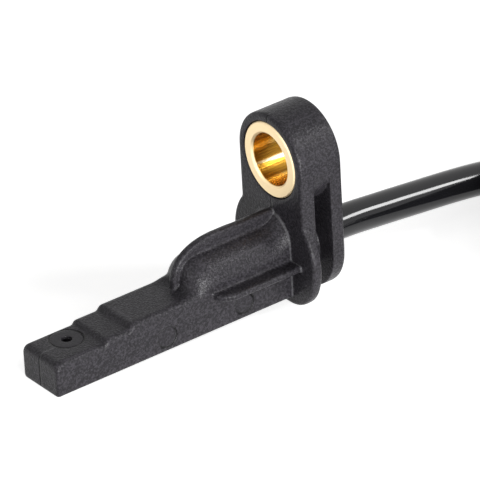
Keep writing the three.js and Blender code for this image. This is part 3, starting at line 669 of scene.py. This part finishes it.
def smooth_shaded(obj):
    """Gives every face smooth shading."""
    obj.data.polygons.foreach_set("use_smooth", [True] * len(obj.data.polygons))
    obj.data.update()


def soft_edges(obj, width):
    """Small rounding on a solid's edges, as a modifier."""
    bevel = obj.modifiers.new("Rounded edges", "BEVEL")
    bevel.width = width
    bevel.segments = 2
    bevel.limit_method = "ANGLE"
    bevel.angle_limit = math.radians(35)
    bevel.harden_normals = False


# Operators, one for each piece or group of like pieces

class SENSOR_OT_camera(bpy.types.Operator):
    """Add the camera at the photograph's viewing angle"""

    bl_idname = "sensor.camera"
    bl_label = "Camera"

    def execute(self, context):
        settings = context.scene.sensor_studio
        data = bpy.data.cameras.new("Camera")
        data.lens = settings.lens
        data.sensor_width = SENSOR_WIDTH
        data.clip_start = 0.05
        data.clip_end = 20.0
        camera = linked("Camera", data)
        camera.location = CAMERA_PLACE
        camera.rotation_euler = Euler([math.radians(angle) for angle in CAMERA_TURN], "XYZ")
        context.scene.camera = camera
        return {"FINISHED"}


def coil_points(settings):
    """Points of the coil's turns, clockwise seen from above.

    The turns lie two wide and two high. Near the end of each turn the bundle rolls by a quarter, so that
    the cable goes from the outer place inwards, then up, and leaves above the place where it came in.
    """
    reach = COIL_PITCH / math.sqrt(2)
    points = []
    for i in range(settings.turns * TURN_POINTS + 1):
        share = i / TURN_POINTS
        turn = min(int(share), settings.turns - 1)
        roll = max(0.0, (share - turn - ROLL_START) / (1 - ROLL_START))
        roll = roll * roll * (3 - 2 * roll)
        place = -math.pi / 4 - math.pi / 2 * (turn + roll)
        radius = settings.coil_radius / MM + reach * math.cos(place)
        angle = math.pi / 2 - 2 * math.pi * share
        points.append((
            COIL_CENTRE[0] + radius * math.cos(angle),
            COIL_CENTRE[1] + radius * math.sin(angle),
            COIL_MIDDLE_Z + reach * math.sin(place)))
    return points


class SENSOR_OT_cable(bpy.types.Operator):
    """Add the cable: out of the head, down to the coil, three turns and on to the plug"""

    bl_idname = "sensor.cable"
    bl_label = "Cable"

    def execute(self, context):
        settings = context.scene.sensor_cable
        along = (CABLE_START, EAR_REAR, EAR_REAR + 2, EAR_REAR + 4)
        start = [tuple(v / MM for v in at_rest(x, 0, CABLE_Z)) for x in along]
        route = [*start, *RUN_OUT, *coil_points(settings), *RUN_TAIL]
        data = bpy.data.curves.new("cable_line", "CURVE")
        data.dimensions = "3D"
        data.resolution_u = 5
        data.bevel_depth = settings.diameter / 2
        data.bevel_resolution = 10
        data.use_fill_caps = True
        spline = data.splines.new("BEZIER")
        spline.bezier_points.add(len(route) - 1)
        for knot, place in zip(spline.bezier_points, route):
            knot.co = Vector(place) * MM
            knot.handle_left_type = "AUTO"
            knot.handle_right_type = "AUTO"
        cable = linked("jacket_cable", data)
        jacket = smooth_material(
            "Glossy jacket", tuple(settings.colour), settings.roughness, wave_scale=260.0, depth=0.00001)
        jacket.node_tree.nodes["Principled BSDF"].inputs["Specular IOR Level"].default_value = settings.gloss
        dress(cable, jacket)
        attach(cable, "root")
        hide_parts("cable", "cable_coil", "cable_tail")
        return {"FINISHED"}


class SENSOR_OT_housing(bpy.types.Operator):
    """Add the moulded housing: remeshed from its solid, with rounded edges and the mould's marks"""

    bl_idname = "sensor.housing"
    bl_label = "Housing"

    def execute(self, context):
        settings = context.scene.sensor_head
        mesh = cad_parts["housing"].data.copy()
        mesh.transform(level_to_rest().inverted())
        housing = linked("moulded_housing", mesh)
        build = bmesh.new()
        build.from_mesh(mesh)
        bmesh.ops.remove_doubles(build, verts=build.verts, dist=MERGE_DISTANCE)
        build.to_mesh(mesh)
        build.free()
        voxels = housing.modifiers.new("Voxels", "REMESH")
        voxels.mode = "VOXEL"
        voxels.voxel_size = settings.voxel / MM
        applied(housing)
        filter_facets(housing.data, NORMAL_PASSES, VERTEX_PASSES, FACET_TOLERANCE)
        round_edges(housing.data, settings.rounding)
        thin = housing.modifiers.new("Thin out", "DECIMATE")
        thin.ratio = min(1.0, HOUSING_TRIANGLES / (2 * len(housing.data.polygons)))
        applied(housing)
        housing.data.transform(level_to_rest())
        smooth_shaded(housing)
        dress(housing, grain_material(
            "Moulded plastic", tuple(settings.colour), settings.roughness, 1 / settings.grain,
            settings.relief, settings.speckle, edge=settings.edge, gloss=settings.gloss, marked=True))
        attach(housing, "root")
        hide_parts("housing")
        return {"FINISHED"}


class SENSOR_OT_bush(bpy.types.Operator):
    """Finish the turned brass bush in the ear"""

    bl_idname = "sensor.bush"
    bl_label = "Bush"

    def execute(self, context):
        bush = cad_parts["mounting_bush"]
        dress(bush, bush_material(context.scene.sensor_bush))
        smooth = bush.modifiers.new("Smooth by angle", "EDGE_SPLIT")
        smooth.split_angle = math.radians(30)
        return {"FINISHED"}


class SENSOR_OT_ties(bpy.types.Operator):
    """Finish the two bands that hold the coil"""

    bl_idname = "sensor.ties"
    bl_label = "Coil ties"

    def execute(self, context):
        look = grain_material(
            "Tie plastic", (0.012, 0.012, 0.013), roughness=0.45, scale=5200.0, depth=0.00002, speckle=0.2)
        for name in ("coil_tie_a", "coil_tie_b"):
            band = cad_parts[name]
            dress(band, look)
            soft_edges(band, 0.0002)
        return {"FINISHED"}


class SENSOR_OT_plug(bpy.types.Operator):
    """Finish the plug: shell, boot, lock and seals"""

    bl_idname = "sensor.plug"
    bl_label = "Plug"

    def execute(self, context):
        settings = context.scene.sensor_plug
        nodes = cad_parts
        shell = grain_material(
            "Plug plastic", tuple(settings.shell), roughness=0.42, scale=4200.0, depth=0.00002, speckle=0.25)
        rubber = grain_material(
            "Boot rubber", (0.009, 0.009, 0.010), roughness=0.62, scale=2600.0, depth=0.00003, speckle=0.15)
        seal = smooth_material(
            "Seal silicone", tuple(settings.seal), roughness=0.45, wave_scale=900.0, depth=0.00002)
        lock = grain_material(
            "Lock plastic", tuple(settings.lock), roughness=0.4, scale=4200.0, depth=0.00002, speckle=0.1)
        looks = {
            "plug_body": (shell, 0.00025), "plug_boot": (rubber, 0.0002), "plug_lock": (lock, 0.0001),
            "plug_seal": (seal, 0.0002), "wire_seal_left": (seal, 0.0), "wire_seal_right": (seal, 0.0),
        }
        for name, (look, width) in looks.items():
            dress(nodes[name], look)
            if width:
                soft_edges(nodes[name], width)
        return {"FINISHED"}


class SENSOR_OT_inner(bpy.types.Operator):
    """Finish the parts inside the head, and the cores and terminals"""

    bl_idname = "sensor.inner"
    bl_label = "Inner parts"

    def execute(self, context):
        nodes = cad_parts
        tinned = smooth_material(
            "Tinned metal", (0.52, 0.53, 0.55), roughness=0.28, wave_scale=1500.0, depth=0.00001,
            metallic=1.0)
        copper = smooth_material(
            "Copper wire", (0.50, 0.17, 0.06), roughness=0.3, wave_scale=4000.0, depth=0.00002, metallic=1.0)
        blue = smooth_material(
            "Blue insulation", (0.02, 0.05, 0.17), roughness=0.4, wave_scale=700.0, depth=0.00001)
        brown = smooth_material(
            "Brown insulation", (0.11, 0.045, 0.018), roughness=0.4, wave_scale=700.0, depth=0.00001)
        carrier = grain_material(
            "Carrier plastic", (0.04, 0.045, 0.055), roughness=0.5, scale=5000.0, depth=0.00002, speckle=0.2)
        chip = grain_material(
            "Chip plastic", (0.008, 0.008, 0.009), roughness=0.35, scale=9000.0, depth=0.00001, speckle=0.1)
        ceramic = grain_material(
            "Ceramic body", (0.32, 0.20, 0.08), roughness=0.5, scale=7000.0, depth=0.00001, speckle=0.3)
        looks = {
            "element_carrier": carrier, "sensor_ic": chip, "capacitor": ceramic,
            "lead_left": tinned, "lead_right": tinned, "splice_left": tinned, "splice_right": tinned,
            "terminal_left": tinned, "terminal_right": tinned,
            "conductor_left": copper, "conductor_right": copper,
            "core_left": blue, "core_right": brown, "plug_core_left": blue, "plug_core_right": brown,
        }
        for name, look in looks.items():
            dress(nodes[name], look)
        for name in ("element_carrier", "sensor_ic", "capacitor", "terminal_left", "terminal_right"):
            soft_edges(nodes[name], 0.00012)
        return {"FINISHED"}


def lamp(name, power, size, place, aim):
    """Soft rectangular lamp that points at a spot."""
    data = bpy.data.lights.new(name, "AREA")
    data.shape = "RECTANGLE"
    data.size = size[0]
    data.size_y = size[1]
    data.energy = power
    made = linked(name, data)
    made.location = place
    made.rotation_euler = (Vector(aim) - Vector(place)).to_track_quat("-Z", "Y").to_euler()
    made.visible_camera = False


def seen_ray(w):
    """Mask of the rays that should meet plain white: from the camera, from gloss and through glass."""
    rays = w.node("ShaderNodeLightPath")
    seen = w.math("MAXIMUM", rays.outputs["Is Camera Ray"], rays.outputs["Is Glossy Ray"])
    return w.math("MAXIMUM", seen, rays.outputs["Is Transmission Ray"])


class SENSOR_OT_studio(bpy.types.Operator):
    """Add the white floor, the lamps and the even surround"""

    bl_idname = "sensor.studio"
    bl_label = "Studio"

    def execute(self, context):
        settings = context.scene.sensor_studio
        scene = context.scene
        scene.view_settings.view_transform = "Standard"
        mesh = bpy.data.meshes.new("floor")
        sides = ((-1, -1), (1, -1), (1, 1), (-1, 1))
        corners = [(x * FLOOR_HALF, y * FLOOR_HALF, 0) for x, y in sides]
        mesh.from_pydata(corners, [], [(0, 1, 2, 3)])
        floor = linked("floor", mesh)
        white, w, shader = new_material("White floor", tuple(settings.floor), 0.9)
        shader.inputs["Specular IOR Level"].default_value = 0.0
        glow = w.node("ShaderNodeEmission", {"Color": WHITE})
        w.feed(glow.inputs["Strength"], w.math("MULTIPLY", seen_ray(w), settings.glow))
        both = w.node("ShaderNodeAddShader", {0: shader.outputs[0], 1: glow.outputs[0]})
        w.feed(white.node_tree.nodes["Material Output"].inputs["Surface"], both.outputs[0])
        dress(floor, white)

        world = scene.world or bpy.data.worlds.new("World")
        scene.world = world
        world.use_nodes = True
        tree = world.node_tree
        tree.nodes.clear()
        w = Wiring(tree)
        sky = w.node("ShaderNodeBackground", {"Color": WHITE, "Strength": settings.sky})
        plain = w.node("ShaderNodeBackground", {"Color": WHITE, "Strength": 1.0})
        pick = w.node("ShaderNodeMixShader", {0: seen_ray(w), 1: sky.outputs[0], 2: plain.outputs[0]})
        w.node("ShaderNodeOutputWorld", {"Surface": pick.outputs[0]})

        for name, share, size, place, aim in LAMPS:
            lamp(name, share * settings.power, size, place, aim)
        return {"FINISHED"}


class SENSOR_PT_panel(bpy.types.Panel):
    """Sidebar list of the sensor's operators and settings"""

    bl_idname = "SENSOR_PT_panel"
    bl_label = "Wheel speed sensor"
    bl_space_type = "VIEW_3D"
    bl_region_type = "UI"
    bl_category = "Sensor"

    def draw(self, context):
        for operator in STEPS:
            self.layout.operator(operator.bl_idname)
        for name, kind in GROUPS:
            box = self.layout.box()
            for key in kind.__annotations__:
                box.prop(getattr(context.scene, name), key)


STEPS = (
    SENSOR_OT_camera, SENSOR_OT_cable, SENSOR_OT_housing, SENSOR_OT_bush, SENSOR_OT_ties, SENSOR_OT_plug,
    SENSOR_OT_inner, SENSOR_OT_studio,
)
GROUPS = (
    ("sensor_head", SENSOR_PG_head), ("sensor_bush", SENSOR_PG_bush), ("sensor_cable", SENSOR_PG_cable),
    ("sensor_plug", SENSOR_PG_plug), ("sensor_studio", SENSOR_PG_studio),
)


def register():
    """Adds the settings, operators and panel."""
    for name, kind in GROUPS:
        bpy.utils.register_class(kind)
        setattr(bpy.types.Scene, name, bpy.props.PointerProperty(type=kind))
    for kind in (*STEPS, SENSOR_PT_panel):
        bpy.utils.register_class(kind)


def unregister():
    """Takes them away again."""
    for kind in reversed((*STEPS, SENSOR_PT_panel)):
        bpy.utils.unregister_class(kind)
    for name, kind in reversed(GROUPS):
        delattr(bpy.types.Scene, name)
        bpy.utils.unregister_class(kind)


def main():
    """Builds the whole scene with the operators."""
    register()
    bpy.ops.sensor.camera()
    bpy.ops.sensor.cable()
    bpy.ops.sensor.housing()
    bpy.ops.sensor.bush()
    bpy.ops.sensor.ties()
    bpy.ops.sensor.plug()
    bpy.ops.sensor.inner()
    bpy.ops.sensor.studio()


if __name__ == "__main__":
    main()
